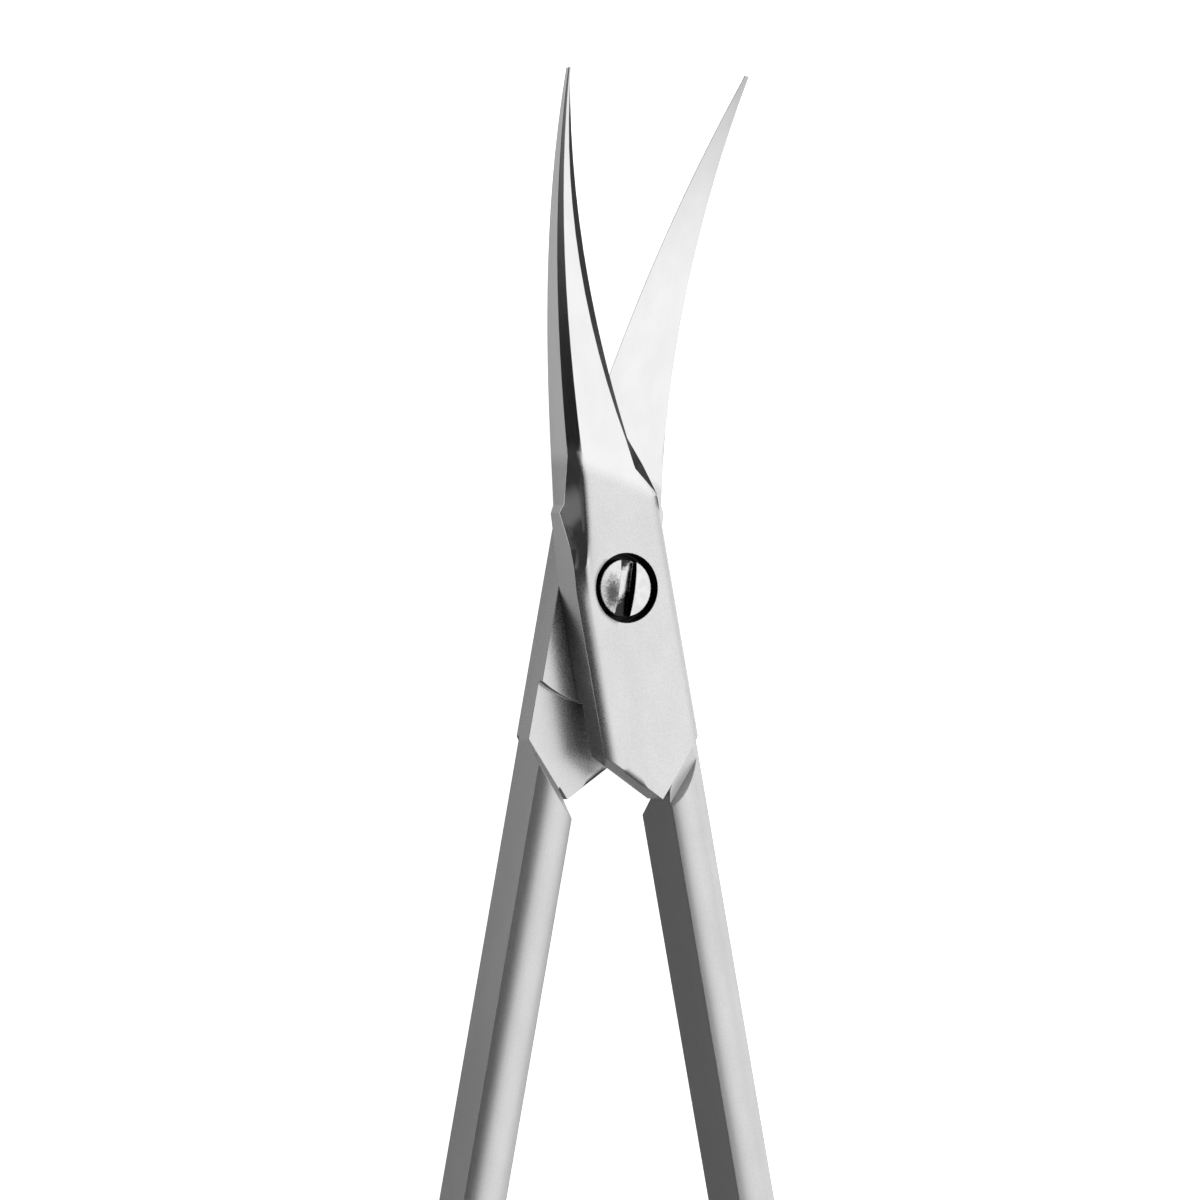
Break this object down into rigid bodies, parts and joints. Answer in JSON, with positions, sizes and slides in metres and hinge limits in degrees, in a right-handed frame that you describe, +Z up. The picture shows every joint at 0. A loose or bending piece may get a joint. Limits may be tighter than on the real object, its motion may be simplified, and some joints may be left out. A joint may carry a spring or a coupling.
{
  "type": "cuticle scissors",
  "caption": "Steel cuticle scissors: slim blades bowed to one side, crossing at a slotted pivot screw, with straight crowned shanks and oval finger rings.",
  "frame": {"origin": "where the pivot axis meets the flat back of the rear joint plate, on which the scissors lie", "axes": "+Z up along the pivot axis towards the screw's head, +Y towards the tips, +X to the right seen from above"},
  "size_m": [0.068, 0.0941, 0.0077],
  "materials": {
    "half_steel": "satin plate and shank, polished blade",
    "screw_steel": "polished"
  },
  "bodies": {
    "rear_half": {"rear_half": "half_steel"},
    "front_half": {"front_half": "half_steel"},
    "pivot_screw": {"pivot_screw": "screw_steel"}
  },
  "joints": [
    {"name": "pivot", "type": "hinge", "parent": "rear_half", "child": "front_half", "pos_m": [0, 0, 0.00205], "axis": [0, 0, 1], "range_deg": [-22, 68]},
    {"name": "tension_screw", "type": "hinge", "parent": "rear_half", "child": "pivot_screw", "pos_m": [0, 0, 0.00205], "axis": [0, 0, 1], "range_deg": [-45, 45]}
  ]
}
